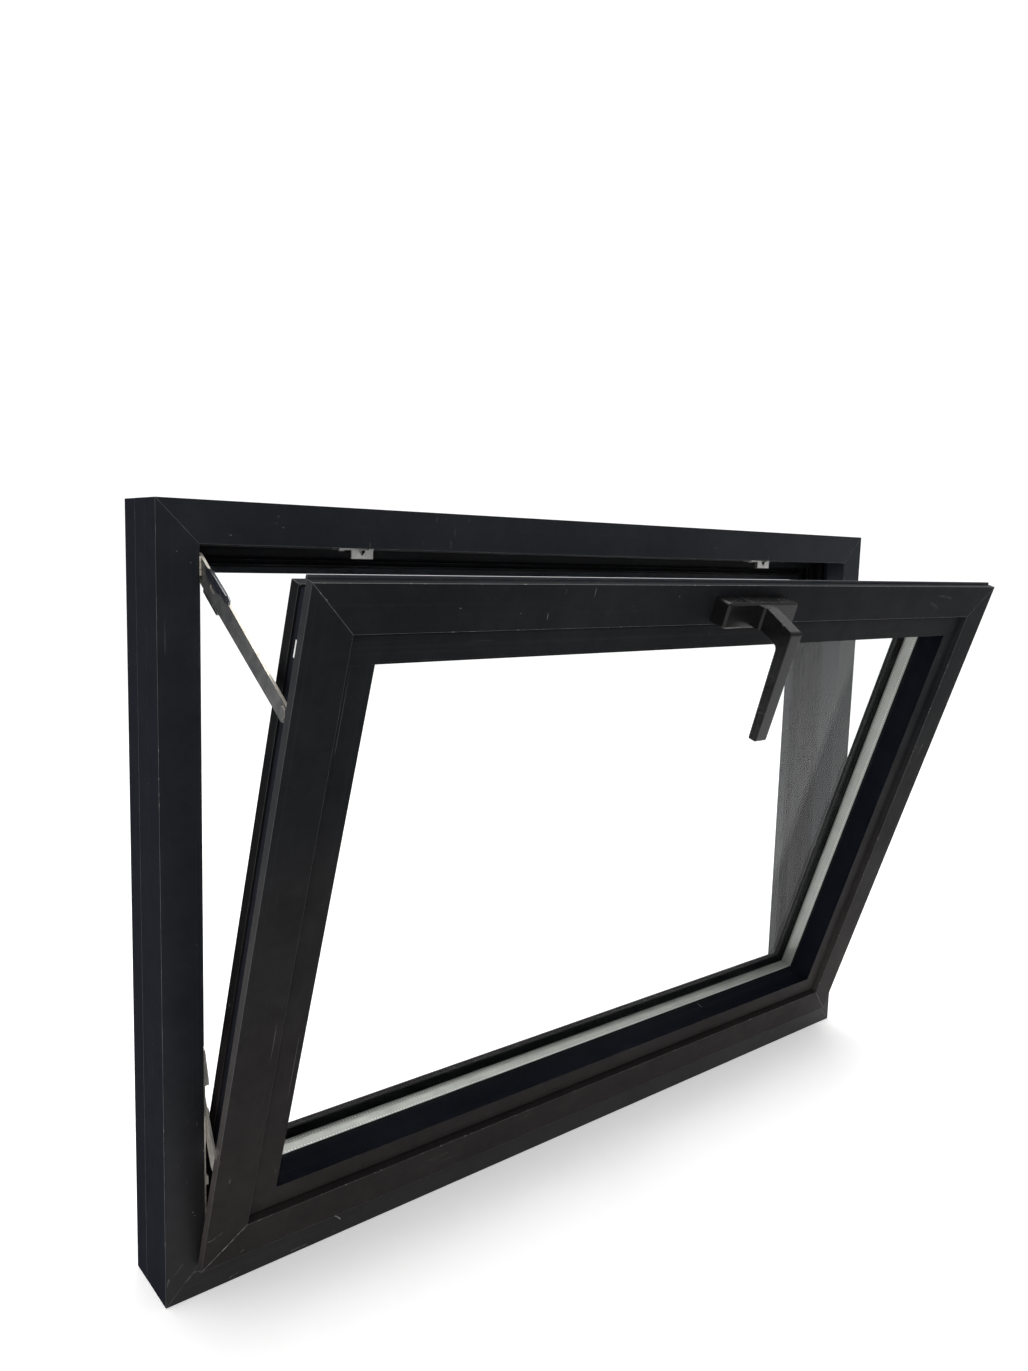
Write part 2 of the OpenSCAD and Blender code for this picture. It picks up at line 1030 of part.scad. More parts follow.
module handle_lever() {
    under = 10.8;
    over = 10.8;
    color(coat)
        in_sash()
            translate([0, 0, handle_v]) {
                difference() {
                    plate_at(-lever_width / 2, lever_width)
                        polygon(concat(
                            [[-neck_front, over], [-neck_front, -under]],
                            arc([-42.55, -22.5], 6, 109, 178.3),
                            [
                                [-51.2, -lever_reach + 1.2], [-52.4, -lever_reach],
                                [-59.4, -lever_reach], [-lever_front, -lever_reach + 1.4]
                            ],
                            arc([-lever_front + 5, -4.26], 5, 180, 109)
                        ));
                    translate([0, -neck_front + 1, 0])
                        rotate([90, 0, 0])
                            translate([-spindle / 2, -spindle / 2, 0])
                                cube([spindle, spindle, 12]);
                }
                rotate([90, 0, 0])
                    difference() {
                        translate([0, 0, 5.5])
                            cylinder(r = 5.2, h = neck_front - 5.5, $fn = 40);
                        translate([-spindle / 2, -spindle / 2, 0])
                            cube([spindle, spindle, 40]);
                    }
            }
}

// square spindle with the crank that drives the rod
module handle_spindle() {
    color(steel)
        in_sash()
            translate([0, 0, handle_v]) {
                translate([-spindle / 2 + 0.02, -neck_front - 9, -spindle / 2 + 0.02])
                    cube([spindle - 0.04, neck_front + 9 + 18, spindle - 0.04]);
                rotate([-90, 45, 0])
                    translate([0, 0, 13]) {
                        cylinder(r = 5.6, h = 5, $fn = 36);
                        translate([-2.6, 0, 0])
                            cube([5.2, crank_radius, 5]);
                        translate([0, crank_radius, 0])
                            cylinder(r = 2.6, h = 5, $fn = 32);
                        translate([0, crank_radius, 0])
                            cylinder(r = crank_pin, h = 9, $fn = 32);
                    }
            }
}

// ---------- lock rod ----------

// rod in the top groove, with the yoke plate the crank pin works in
module lock_rod() {
    pin_x = -crank_radius * sin(45);
    fork_low = rod_low - 11.1;
    color(bright)
        in_sash()
            difference() {
                union() {
                    translate([-330 - rod_travel / 2, groove_mid - rod_half, rod_low])
                        cube([660, 2 * rod_half, rod_thick]);
                    translate([pin_x - 7, 19, fork_low])
                        cube([14, 2.2, rod_low + rod_thick - fork_low]);
                    translate([pin_x - 7, 20, rod_low])
                        cube([14, 4, rod_thick]);
                }
                translate([pin_x - crank_pin - pin_play, 18, fork_low - 1])
                    cube([2 * (crank_pin + pin_play), 4, rod_low - 2.2 - fork_low + 1]);
                for (s = [-1, 1])
                    translate([s * keep_offset + cam_start, groove_mid, rod_low - 1])
                        cylinder(r = 2.5, h = rod_thick + 2, $fn = 32);
            }
}

module lock_cams() {
    color(bright)
        in_sash()
            for (s = [-1, 1])
                translate([s * keep_offset + cam_start, groove_mid, 0]) {
                    translate([0, 0, rod_low])
                        cylinder(r = 2.45, h = rod_thick + 0.5, $fn = 32);
                    translate([0, 0, rod_low + rod_thick + 0.2])
                        cylinder(r = cam_radius, h = cam_top - rod_low - rod_thick - 0.2, $fn = 40);
                }
}

// ---------- stay on the left side ----------

module bracket_shape() {
    x0 = -frame_width / 2 + frame_face;
    difference() {
        plate_at(x0, bracket_thick)
            polygon([
                [3, stay_z - 32], [18, stay_z - 32], [22, stay_z - 26], [22, stay_z + 10],
                [17, stay_z + 15], [5, stay_z + 15], [3, stay_z + 10],
                [3, stay_z + 7], [0.8, stay_z + 7], [0.8, stay_z + 3], [1.7, stay_z + 2.6],
                [1.7, stay_z + 2], [0.8, stay_z + 1.6], [0.8, stay_z - 3.4], [1.7, stay_z - 3.8],
                [1.7, stay_z - 4.4], [0.8, stay_z - 4.8], [0.8, stay_z - 9], [3, stay_z - 9]
            ]);
        for (i = [3, 4]) {
            plate_at(x0 - 1, 4)
                translate(jamb_screws[i])
                    circle(r = screw_hole, $fn = 24);
            plate_at(x0 + 0.6, 4)
                translate(jamb_screws[i])
                    circle(r = 3.1, $fn = 24);
        }
    }
    plate_at(x0, tab_thick)
        polygon([
            [0.8, stay_z + 7], [0.8, stay_z + 3], [1.7, stay_z + 2.6], [1.7, stay_z + 2],
            [0.8, stay_z + 1.6], [0.8, stay_z - 3.4], [1.7, stay_z - 3.8], [1.7, stay_z - 4.4],
            [0.8, stay_z - 4.8], [0.8, stay_z - 9], [3.4, stay_z - 9], [3.4, stay_z + 7]
        ]);
    plate_at(x0 + 0.4, arm_thick + 3)
        translate([stay_y, stay_z])
            circle(r = stay_pin, $fn = 36);
    plate_at(-frame_width / 2 + arm_x + arm_thick + 0.35, 1.6)
        translate([stay_y, stay_z])
            circle(r = 5.5, $fn = 36);
}

module stay_bracket() {
    color(bright)
        in_frame()
            bracket_shape();
}

// stay coordinates: pivot at the origin, arm hanging down -z, turned to its open angle
module in_stay() {
    in_frame()
        translate([-frame_width / 2 + arm_x, stay_y, stay_z])
            rotate([-stay_angle, 0, 0])
                children();
}

module arm_shape() {
    difference() {
        plate_at(0, arm_thick) {
            circle(r = arm_wide / 2, $fn = 48);
            translate([0, -stay_length])
                circle(r = arm_narrow / 2, $fn = 48);
            polygon([
                [arm_wide / 2 - 0.1, -1], [arm_narrow / 2 - 0.1, 1 - stay_length],
                [0.1 - arm_narrow / 2, 1 - stay_length], [0.1 - arm_wide / 2, -1]
            ]);
        }
        plate_at(-1, arm_thick + 2)
            circle(r = stay_pin + 0.06, $fn = 36);
        plate_at(-1, arm_thick)
            for (z = [-32, -39])
                translate([-0.6, z])
                    circle(r = 1.8, $fn = 28);
        plate_at(-1, arm_thick)
            translate([-2.4, -39])
                square([3.6, 7]);
    }
    plate_at(-head_high, head_high + 1)
        translate([0, -stay_length])
            circle(r = 5, $fn = 36);
}

module stay_arm() {
    color(steel)
        in_stay()
            arm_shape();
}

// catch on the jamb side of the arm, folded over its upper edge, with a hooked lower end
module clip_shape() {
    plate_at(-clip_thick, clip_thick)
        polygon([
            [-9.9, -15], [-4.2, -22], [-4.6, -46], [-6.5, -51], [-8.2, -52], [-7.6, -63],
            [-10.6, -70], [-14.5, -69], [-15.5, -65], [-13.6, -61], [-13.2, -36],
            [-12.4, -26], [-9.9, -18]
        ]);
    plate_at(-clip_thick, arm_thick + clip_thick)
        polygon([[-10.1, -20], [-9.6, -58], [-12, -58], [-11.4, -26]]);
}

// channel that guides the lower edge of the arm
module guide_shape() {
    plate_at(0, arm_thick + guide_thick)
        polygon([[9.8, -20], [12.4, -21.5], [12.4, -53], [9.5, -54.5]]);
    plate_at(arm_thick, guide_thick)
        polygon([[7.4, -22], [10.4, -21], [10.4, -54], [7.2, -52.5]]);
}

module stay_clip() {
    color([0.25, 0.25, 0.26])
        in_stay()
            clip_shape();
}

module stay_guide() {
    color([0.25, 0.25, 0.26])
        in_stay()
            guide_shape();
}

module slider_shape() {
    x0 = -sash_width / 2;
    half = groove_width / 2 - 0.4;
    translate([x0 + body_inset + groove_lip + 0.3, groove_mid - half, stay_v - slider_length / 2])
        cube([groove_floor - groove_lip - 0.6, 2 * half, slider_length]);
    collar_from = -frame_width / 2 + arm_x + arm_thick + collar_gap;
    plate_at(collar_from, x0 + body_inset + groove_lip + 1 - collar_from)
        translate([groove_mid, stay_v])
            circle(r = 5, $fn = 36);
}

module stay_slider() {
    color(bright)
        in_sash()
            slider_shape();
}

module stay_rest_block() {
    color(bright)
        in_sash()
            translate([-sash_width / 2 + body_inset - 4, groove_mid - 4, stay_v + 40]) {
                cube([4, 12, 14]);
                translate([3, 0, 2])
                    cube([5, 8, 10]);
            }
}

// ---------- drawing ----------

frame_head();
frame_sill();
frame_jamb_left();
frame_jamb_right();
frame_thermal_strips();
frame_corner_cleats();
frame_centre_gasket();
frame_stop_gasket();
frame_drain_caps();
keep_left();
keep_right();
keep_screws();
stay_bracket();
hinge_plate_left();
hinge_plate_right();
frame_hardware_screws();
sash_top_rail();
sash_bottom_rail();
sash_stile_left();
sash_stile_right();
sash_thermal_strips();
sash_corner_cleats();
sash_overlap_gasket();
bead_top();
bead_bottom();
bead_left();
bead_right();
glass_inner();
glass_outer();
glass_spacer();
glass_sealant();
glazing_gasket_inner();
glazing_gasket_outer();
setting_blocks();
hinge_leaf_left();
hinge_leaf_right();
hinge_pins();
sash_hardware_screws();
stay_rest_block();
handle_cover();
handle_base();
handle_screws();
handle_lever();
handle_spindle();
lock_rod();
lock_cams();
stay_arm();
stay_clip();
stay_guide();
stay_slider();
friction_link_left();
friction_link_right();
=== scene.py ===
"""Looks of the bottom-hung window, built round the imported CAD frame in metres."""

import json
import math

import bmesh
import bpy
from mathutils import Matrix, Vector

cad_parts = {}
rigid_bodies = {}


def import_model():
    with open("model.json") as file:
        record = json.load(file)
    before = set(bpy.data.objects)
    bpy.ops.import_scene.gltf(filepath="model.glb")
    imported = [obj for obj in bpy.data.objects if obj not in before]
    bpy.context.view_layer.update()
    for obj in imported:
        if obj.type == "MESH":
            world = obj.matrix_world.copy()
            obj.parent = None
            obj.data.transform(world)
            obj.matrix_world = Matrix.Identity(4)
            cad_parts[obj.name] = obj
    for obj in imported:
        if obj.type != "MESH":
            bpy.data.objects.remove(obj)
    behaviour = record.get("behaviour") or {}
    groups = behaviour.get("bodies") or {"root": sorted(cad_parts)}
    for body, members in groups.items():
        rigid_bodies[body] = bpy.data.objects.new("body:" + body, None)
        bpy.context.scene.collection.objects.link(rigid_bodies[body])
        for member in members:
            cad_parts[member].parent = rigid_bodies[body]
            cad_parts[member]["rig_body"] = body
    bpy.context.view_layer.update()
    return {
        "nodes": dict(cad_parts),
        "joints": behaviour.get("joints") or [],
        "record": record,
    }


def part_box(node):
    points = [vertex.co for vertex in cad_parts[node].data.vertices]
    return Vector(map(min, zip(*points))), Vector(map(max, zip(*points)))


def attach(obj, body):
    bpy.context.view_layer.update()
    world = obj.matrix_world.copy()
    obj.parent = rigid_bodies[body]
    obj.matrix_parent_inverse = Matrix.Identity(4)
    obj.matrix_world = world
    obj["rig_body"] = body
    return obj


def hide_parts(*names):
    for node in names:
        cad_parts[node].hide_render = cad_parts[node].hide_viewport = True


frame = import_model()
NODES = frame["nodes"]
JOINTS = {j["name"]: j for j in frame["joints"]}
SLOT_OF = {p["node"]: p["material_slot"] for p in frame["record"]["subparts"]}
MM = 0.001
TILT = math.radians(17.8)
HINGE = Vector(JOINTS["sash_tilt"]["pos_m"])
FRAME_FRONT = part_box("frame_head")[0].y
# sash, from the closed face and the lower edge
HANDLE_V = 0.62045
AXIS_IN = 0.0045
AXIS_UP = 0.005
FLANGE_THICK = 0.0085
SOCKET_OUT = 0.0290
LEVER_HALF = 0.0078
SPACER_MID = 0.0484
SLOT_ROW = 0.0052
SLOT_PITCH = 0.0034

# where the frame's outer sides begin, as (coat, film)
WALL_SIDE = (0.4922, 0.4926)
WALL_FOOT = (0.0003, 0.0008)
WALL_TOP = (0.6992, 0.6997)

FILM_DARK = (0.0135, 0.0140, 0.0185)
FILM_LIGHT = (0.0160, 0.0170, 0.0225)
# painted shade tone for faces turned down
UNDERSIDE_SHADE = (0.0030, 0.0040, 0.0075)


# ---------- shader building ----------


class Shader:
    """One procedural material built from nodes on object coordinates."""

    def __init__(self, name, tilt=0.0):
        self.mat = bpy.data.materials.new(name)
        self.mat.use_nodes = True
        self.tree = self.mat.node_tree
        self.tree.nodes.clear()
        out = self.add("ShaderNodeOutputMaterial")
        self.bsdf = self.add("ShaderNodeBsdfPrincipled")
        self.tree.links.new(self.bsdf.outputs[0], out.inputs[0])
        self.coord = self.add("ShaderNodeTexCoord").outputs["Object"]
        self.normal = self.add("ShaderNodeNewGeometry").outputs["Normal"]
        if tilt:
            turned = self.add("ShaderNodeMapping")
            turned.inputs["Rotation"].default_value = (-tilt, 0, 0)
            self.tree.links.new(self.coord, turned.inputs["Vector"])
            self.coord = turned.outputs[0]

    def add(self, kind, **props):
        n = self.tree.nodes.new(kind)
        for key, value in props.items():
            setattr(n, key, value)
        return n

    def feed(self, socket, value):
        if isinstance(value, bpy.types.NodeSocket):
            self.tree.links.new(value, socket)
        elif isinstance(value, (tuple, list)) and len(socket.default_value) == 4:
            socket.default_value = (*value[:3], 1.0)
        else:
            socket.default_value = value

    def set(self, **values):
        for key, value in values.items():
            self.feed(self.bsdf.inputs[key.replace("_", " ")], value)
        return self

    def stretch(self, scale, shift=(0, 0, 0)):
        m = self.add("ShaderNodeMapping")
        m.inputs["Scale"].default_value = scale
        m.inputs["Location"].default_value = shift
        self.tree.links.new(self.coord, m.inputs["Vector"])
        return m.outputs[0]

    def noise(self, scale, detail=3.0, rough=0.55, warp=0.0, shift=(0, 0, 0)):
        n = self.add("ShaderNodeTexNoise")
        n.inputs["Detail"].default_value = detail
        n.inputs["Roughness"].default_value = rough
        n.inputs["Distortion"].default_value = warp
        n.inputs["Scale"].default_value = 1.0
        size = (scale, scale, scale) if isinstance(scale, (int, float)) else scale
        self.tree.links.new(self.stretch(size, shift), n.inputs["Vector"])
        return n.outputs[0]

    def cells(self, scale, feature="F1"):
        n = self.add("ShaderNodeTexVoronoi", feature=feature)
        n.inputs["Scale"].default_value = 1.0
        size = (scale, scale, scale) if isinstance(scale, (int, float)) else scale
        self.tree.links.new(self.stretch(size), n.inputs["Vector"])
        return n.outputs[0]

    def remap(self, value, low, high, to_low=0.0, to_high=1.0):
        n = self.add("ShaderNodeMapRange", clamp=True)
        self.feed(n.inputs["Value"], value)
        for key, number in zip(
            ("From Min", "From Max", "To Min", "To Max"), (low, high, to_low, to_high)
        ):
            n.inputs[key].default_value = number
        return n.outputs[0]

    def math(self, op, a, b=0.0):
        n = self.add("ShaderNodeMath", operation=op)
        self.feed(n.inputs[0], a)
        self.feed(n.inputs[1], b)
        return n.outputs[0]

    def mix(self, fac, a, b):
        n = self.add("ShaderNodeMix", data_type="RGBA")
        self.feed(n.inputs[0], fac)
        self.feed(n.inputs[6], a)
        self.feed(n.inputs[7], b)
        return n.outputs[2]

    def scale(self, colour, factor):
        n = self.add("ShaderNodeVectorMath", operation="SCALE")
        self.feed(n.inputs[0], colour)
        self.feed(n.inputs["Scale"], factor)
        return n.outputs[0]

    def axis(self, vector, index):
        n = self.add("ShaderNodeSeparateXYZ")
        self.tree.links.new(vector, n.inputs[0])
        return n.outputs[index]

    def bump(self, height, distance, strength=1.0):
        n = self.add("ShaderNodeBump")
        n.inputs["Distance"].default_value = distance
        n.inputs["Strength"].default_value = strength
        self.feed(n.inputs["Height"], height)
        return n.outputs[0]

    def stroke(self, a, b, width):
        """1 along the straight line from a to b, given in this shader's coordinates."""
        a, b = Vector(a), Vector(b)
        run = b - a
        rel = self.add("ShaderNodeVectorMath", operation="SUBTRACT")
        self.tree.links.new(self.coord, rel.inputs[0])
        rel.inputs[1].default_value = a
        dot = self.add("ShaderNodeVectorMath", operation="DOT_PRODUCT")
        self.tree.links.new(rel.outputs[0], dot.inputs[0])
        dot.inputs[1].default_value = run / run.length_squared
        t = self.remap(dot.outputs["Value"], 0, 1)
        along = self.add("ShaderNodeVectorMath", operation="SCALE")
        along.inputs[0].default_value = run
        self.tree.links.new(t, along.inputs["Scale"])
        gap = self.add("ShaderNodeVectorMath", operation="DISTANCE")
        self.tree.links.new(rel.outputs[0], gap.inputs[0])
        self.tree.links.new(along.outputs[0], gap.inputs[1])
        return self.remap(gap.outputs["Value"], width * 0.5, width, 1, 0)


def grey(v, warm=0.0):
    return (v * (1 + warm), v, v * (1 - warm))


def along_scale(direction, along, across):
    return tuple(along if axis == direction else across for axis in "xyz")


# marks are (start, end, width in mm, weight) in the shader's own coordinates
def coat(
    name, tone, low_tone, direction, tilt=0.0, shine=0.42, marks=(), level=0.16, painted_side_gain=1.0,
    wrapped=False, ior=1.5, low_band=(0.15, 0.50), shade_tone=None,
):
    """Satin powder coat on an extrusion that runs along one axis."""
    s = Shader(name, tilt)
    height = s.remap(s.axis(s.coord, 2), *low_band)
    tone_mix = s.mix(height, low_tone, tone)
    if shade_tone:
        # painted shade: every face not turned to the front takes the darker shade tone
        front = s.remap(s.axis(s.normal, 1), -0.90, -0.80, 1.0, 0.0)
        tone_mix = s.mix(front, shade_tone, tone_mix)
    cloud = s.remap(s.noise(3.2, 5, 0.6), 0.35, 0.68, 0.80, 1.24)
    colour = s.scale(tone_mix, cloud)
    mottle = s.remap(s.noise(46.0, 6, 0.75, 0.3), 0.35, 0.72, 0.88, 1.20)
    colour = s.scale(colour, mottle)
    streak = s.remap(s.noise(along_scale(direction, 1.1, 330.0), 2, 0.5), 0.60, 0.80)
    colour = s.mix(s.math("MULTIPLY", streak, 0.20), colour, tuple(c * 2.6 + 0.003 for c in tone))
    if painted_side_gain != 1.0:
        # painted light and shade: the overlap flange is painted lighter on its side, the body
        # behind it painted darker
        facing = s.remap(s.math("ABSOLUTE", s.axis(s.normal, 0)), 0.90, 0.98)
        depth = s.axis(s.coord, 1)
        deep = s.remap(depth, FLANGE_BACK - 0.0004, FLANGE_BACK + 0.0004, painted_side_gain, 0.55)
        side = s.math("ADD", 1.0, s.math("MULTIPLY", facing, s.math("SUBTRACT", deep, 1.0)))
        colour = s.scale(colour, side)
    film = s.remap(s.noise(11.0, 6, 0.68, 0.6), 0.56, 0.90, 0.0, 0.075)
    colour = s.mix(film, colour, (0.060, 0.060, 0.060))
    fleck = s.remap(s.cells(150.0), 0.040, 0.075, 1.0, 0.0)
    keep = s.remap(s.noise(23.0, 2, 0.5), 0.64, 0.70)
    fleck = s.math("MULTIPLY", s.math("MULTIPLY", fleck, keep), 0.35)
    colour = s.mix(fleck, colour, (0.20, 0.20, 0.195))
    hair = s.remap(s.noise(along_scale(direction, 9.0, 620.0), 1, 0.4, 0.4), 0.765, 0.80)
    area = s.remap(s.noise(5.0, 2, 0.5, 0, (3, 1, 2)), 0.5, 0.6, 0.0, 0.22)
    hair = s.math("MULTIPLY", hair, area)
    cross = s.remap(s.noise((300.0, 34.0, 60.0), 1, 0.4, 0.8), 0.775, 0.80)
    area = s.remap(s.noise(6.0, 2, 0.5, 0, (9, 4, 2)), 0.54, 0.62, 0.0, 0.22)
    cross = s.math("MULTIPLY", cross, area)
    scratch = s.math("MAXIMUM", hair, cross)
    for start, end, width, weight in marks:
        line = s.stroke(start, end, width * MM)
        broken = s.remap(s.noise(420.0, 2, 0.6), 0.40, 0.56, 0.25, 1.0)
        line = s.math("MULTIPLY", s.math("MULTIPLY", line, broken), weight)
        scratch = s.math("MAXIMUM", scratch, line)
    colour = s.mix(scratch, colour, (0.34, 0.335, 0.32))
    rough = s.remap(s.noise(17.0, 4, 0.6), 0.3, 0.7, shine - 0.06, shine + 0.09)
    rough = s.math("ADD", rough, s.math("MULTIPLY", film, 0.5))
    peel = s.noise(1150.0, 2, 0.5)
    relief = s.math("SUBTRACT", s.math("MULTIPLY", peel, 0.5), s.math("MULTIPLY", scratch, 0.8))
    die = s.noise(along_scale(direction, 0.7, 420.0), 2, 0.5)
    relief = s.math("ADD", relief, s.math("MULTIPLY", die, 0.5))
    shiny = level
    refraction = ior
    if wrapped:
        # painted shade: faces of the head turned down get a near-black tone and no shine
        below = s.remap(s.axis(s.normal, 2), -0.95, -0.80, 1.0, 0.0)
        colour = s.mix(below, colour, UNDERSIDE_SHADE)
        refraction = s.remap(below, 0, 1, ior, 1.0)
        # the sides that sit in the wall keep a dull protective film
        x_out = s.remap(s.math("ABSOLUTE", s.axis(s.coord, 0)), *WALL_SIDE)
        low = s.remap(s.axis(s.coord, 2), *WALL_FOOT, 1.0, 0.0)
        high = s.remap(s.axis(s.coord, 2), *WALL_TOP)
        outer = s.math("MAXIMUM", x_out, s.math("MAXIMUM", low, high))
        dull = s.mix(film_cloud(s), FILM_DARK, FILM_LIGHT)
        colour = s.mix(outer, colour, dull)
        shiny = s.remap(s.math("MAXIMUM", outer, below), 0, 1, level, 0.0)
        rough = s.math("MAXIMUM", rough, s.math("MULTIPLY", outer, 0.95))
        inside = s.math("SUBTRACT", 1.0, outer)
        covered = s.math("MULTIPLY", outer, 1.02)
        refraction = s.math("ADD", s.math("MULTIPLY", refraction, inside), covered)
    s.set(Base_Color=colour, Roughness=rough, Normal=s.bump(relief, 0.00006, 0.55))
    s.set(Specular_IOR_Level=shiny, Specular_Tint=(0.86, 0.92, 1.0), IOR=refraction)
    return s.mat


def film_cloud(s):
    return s.remap(s.noise(38.0, 6, 0.7), 0.35, 0.68)


def coat_edge(name, tone, bare=0.26, gain=1.0):
    """Coat along an edge: rubbed in places, and lighter as a painted highlight."""
    s = Shader(name)
    wear_and_highlight = s.remap(s.noise(46.0, 4, 0.65, 0.4), 0.42, 0.66)
    thin, thick = (tuple((c * k + a) * gain for c in tone) for k, a in ((2.0, 0.004), (4.0, 0.02)))
    colour = s.mix(wear_and_highlight, thin, thick)
    nick = s.remap(s.noise(210.0, 2, 0.6), 0.62, 0.72)
    colour = s.mix(nick, colour, grey(bare, 0.01))
    s.set(Base_Color=colour, Roughness=s.remap(wear_and_highlight, 0, 1, 0.34, 0.5), Specular_IOR_Level=0.35)
    s.set(Normal=s.bump(s.noise(900.0, 2), 0.00005, 0.5))
    return s.mat


def metal(name, tone, rough, grain, direction="z", tilt=0.0, dirt=0.35, metallic=1.0):
    """Plated or stainless sheet with brushed grain, stains and scratches."""
    s = Shader(name, tilt)
    lines = s.noise(along_scale(direction, 60.0, 2600.0), 3, 0.6)
    cloud = s.remap(s.noise(85.0, 5, 0.65, 0.3), 0.36, 0.68)
    colour = s.mix(cloud, tuple(c * 0.78 for c in tone), tuple(min(1, c * 1.12) for c in tone))
    stain = s.remap(s.noise(160.0, 4, 0.7, 0.5, (2, 5, 1)), 0.60, 0.80, 0.0, dirt)
    colour = s.mix(stain, colour, (0.07, 0.062, 0.05))
    nick = s.remap(s.noise((900.0, 130.0, 500.0), 1, 0.4, 1.0), 0.73, 0.77)
    colour = s.mix(s.math("MULTIPLY", nick, 0.6), colour, (0.9, 0.9, 0.88))
    r = s.remap(lines, 0.3, 0.7, rough - 0.07, rough + 0.10)
    r = s.math("ADD", r, s.math("MULTIPLY", stain, 0.4))
    s.set(Base_Color=colour, Roughness=r, Metallic=metallic)
    s.set(Normal=s.bump(lines, 0.00002 * grain, 0.6))
    return s.mat


def rubber(name, tone, rough=0.62, tilt=0.0):
    s = Shader(name, tilt)
    cloud = s.remap(s.noise(40.0, 4, 0.6), 0.35, 0.7)
    colour = s.mix(cloud, (tone * 0.85, tone, tone * 1.35), grey(tone * 1.6))
    bloom = s.remap(s.noise(240.0, 4, 0.7), 0.60, 0.82, 0.0, 0.25)
    colour = s.mix(bloom, colour, (0.07, 0.07, 0.068))
    s.set(Base_Color=colour, Roughness=s.remap(cloud, 0, 1, rough - 0.1, rough + 0.1))
    s.set(Normal=s.bump(s.noise(2100.0, 3), 0.00005, 0.6), Specular_IOR_Level=0.2, IOR=1.2)
    return s.mat


def plastic(name, tone, rough=0.5, tilt=0.0):
    s = Shader(name, tilt)
    cloud = s.remap(s.noise(60.0, 4, 0.6), 0.35, 0.7)
    colour = s.mix(cloud, tuple(c * 0.85 for c in tone), tuple(c * 1.2 for c in tone))
    s.set(Base_Color=colour, Roughness=s.remap(s.noise(120.0), 0.3, 0.7, rough - 0.08, rough + 0.1))
    s.set(Normal=s.bump(s.noise(1500.0, 2), 0.00005, 0.5))
    return s.mat


def skin(name):
    """Matt dark polyamide, as dull as the film on the frame's outer sides."""
    s = Shader(name)
    # painted shade: faces turned down take the near-black underside tone
    below = s.remap(s.axis(s.normal, 2), -0.95, -0.80, 1.0, 0.0)
    film = s.mix(film_cloud(s), FILM_DARK, FILM_LIGHT)
    s.set(Base_Color=s.mix(below, film, UNDERSIDE_SHADE))
    s.set(Roughness=s.remap(s.noise(120.0), 0.3, 0.7, 0.90, 0.98), IOR=1.02, Specular_IOR_Level=0.0)
    s.set(Normal=s.bump(s.noise(1500.0, 2), 0.00005, 0.5))
    return s.mat


def keep_plate(name):
    """Zinc keep, bright on its front; the faces turned away from the room get a dark tone as
    painted shade.
    """
    s = Shader(name)
    cloud = s.remap(s.noise(85.0, 5, 0.65, 0.3), 0.36, 0.68)
    # painted light and shade: a lit tone on faces turned to the room, a shaded tone on the rest
    front = s.remap(s.axis(s.normal, 1), -0.75, -0.45, 1.0, 0.0)
    bright = s.mix(cloud, (0.74, 0.74, 0.71), (0.95, 0.95, 0.92))
    dark = s.mix(cloud, (0.015, 0.016, 0.020), (0.05, 0.05, 0.05))
    s.set(Base_Color=s.mix(front, dark, bright), Metallic=0.55)
    s.set(Roughness=s.remap(s.noise(90.0, 3), 0.3, 0.7, 0.34, 0.50))
    s.set(Normal=s.bump(s.noise(1500.0, 3), 0.00002, 0.6))
    return s.mat


def arm_strip(name):
    """Zinc-plated strip with light specks: painted shade on its faces, a painted highlight along
    its cut edges.
    """
    s = Shader(name)
    # painted light: the cut edges get a bright highlight tone, the broad faces a dark shade tone
    edge = s.remap(s.math("ABSOLUTE", s.axis(s.normal, 0)), 0.5, 0.9, 1.0, 0.0)
    cloud = s.remap(s.noise(60.0, 5, 0.7, 0.5), 0.36, 0.66)
    face = s.mix(cloud, (0.040, 0.041, 0.044), (0.085, 0.085, 0.084))
    dots = s.remap(s.noise(420.0, 3, 0.7), 0.62, 0.74)
    face = s.mix(s.math("MULTIPLY", dots, 0.5), face, (0.20, 0.20, 0.19))
    bright = s.mix(cloud, (0.44, 0.41, 0.355), (0.62, 0.585, 0.52))
    s.set(Base_Color=s.mix(edge, face, bright), Metallic=s.remap(edge, 0, 1, 0.15, 0.5))
    s.set(Roughness=s.remap(s.noise(90.0, 3), 0.3, 0.7, 0.38, 0.56), Specular_IOR_Level=0.25)
    s.set(Normal=s.bump(s.noise((900.0, 900.0, 120.0), 3), 0.00003, 0.6))
    return s.mat


def handle_coat(name, tone, dust, shine, level):
    """Smooth satin enamel of a handle, dusty where it faces up."""
    s = Shader(name)
    cloud = s.remap(s.noise(26.0, 4, 0.6), 0.35, 0.7)
    colour = s.mix(cloud, grey(tone * 0.85), grey(tone * 1.2))
    up = s.remap(s.axis(s.normal, 2), 0.55, 0.95)
    specks = s.remap(s.noise(620.0, 5, 0.75), 0.47, 0.66)
    patch = s.remap(s.noise(70.0, 4, 0.7, 0.4), 0.38, 0.62)
    powder = s.math("MULTIPLY", s.math("MULTIPLY", up, patch), specks)
    powder = s.math("MULTIPLY", powder, dust * 0.45)
    colour = s.mix(powder, colour, (0.16, 0.155, 0.15))
    hair = s.remap(s.noise((240.0, 240.0, 50.0), 1, 0.4, 1.3), 0.76, 0.79, 0.0, 0.35)
    colour = s.mix(hair, colour, (0.16, 0.155, 0.15))
    rough = s.remap(s.noise(45.0), 0.3, 0.7, shine, shine + 0.09)
    rough = s.math("ADD", rough, s.math("MULTIPLY", powder, 0.5))
    s.set(Base_Color=colour, Roughness=rough, Specular_IOR_Level=level)
    s.set(Normal=s.bump(s.noise(1400.0, 2), 0.00003, 0.5))
    return s.mat


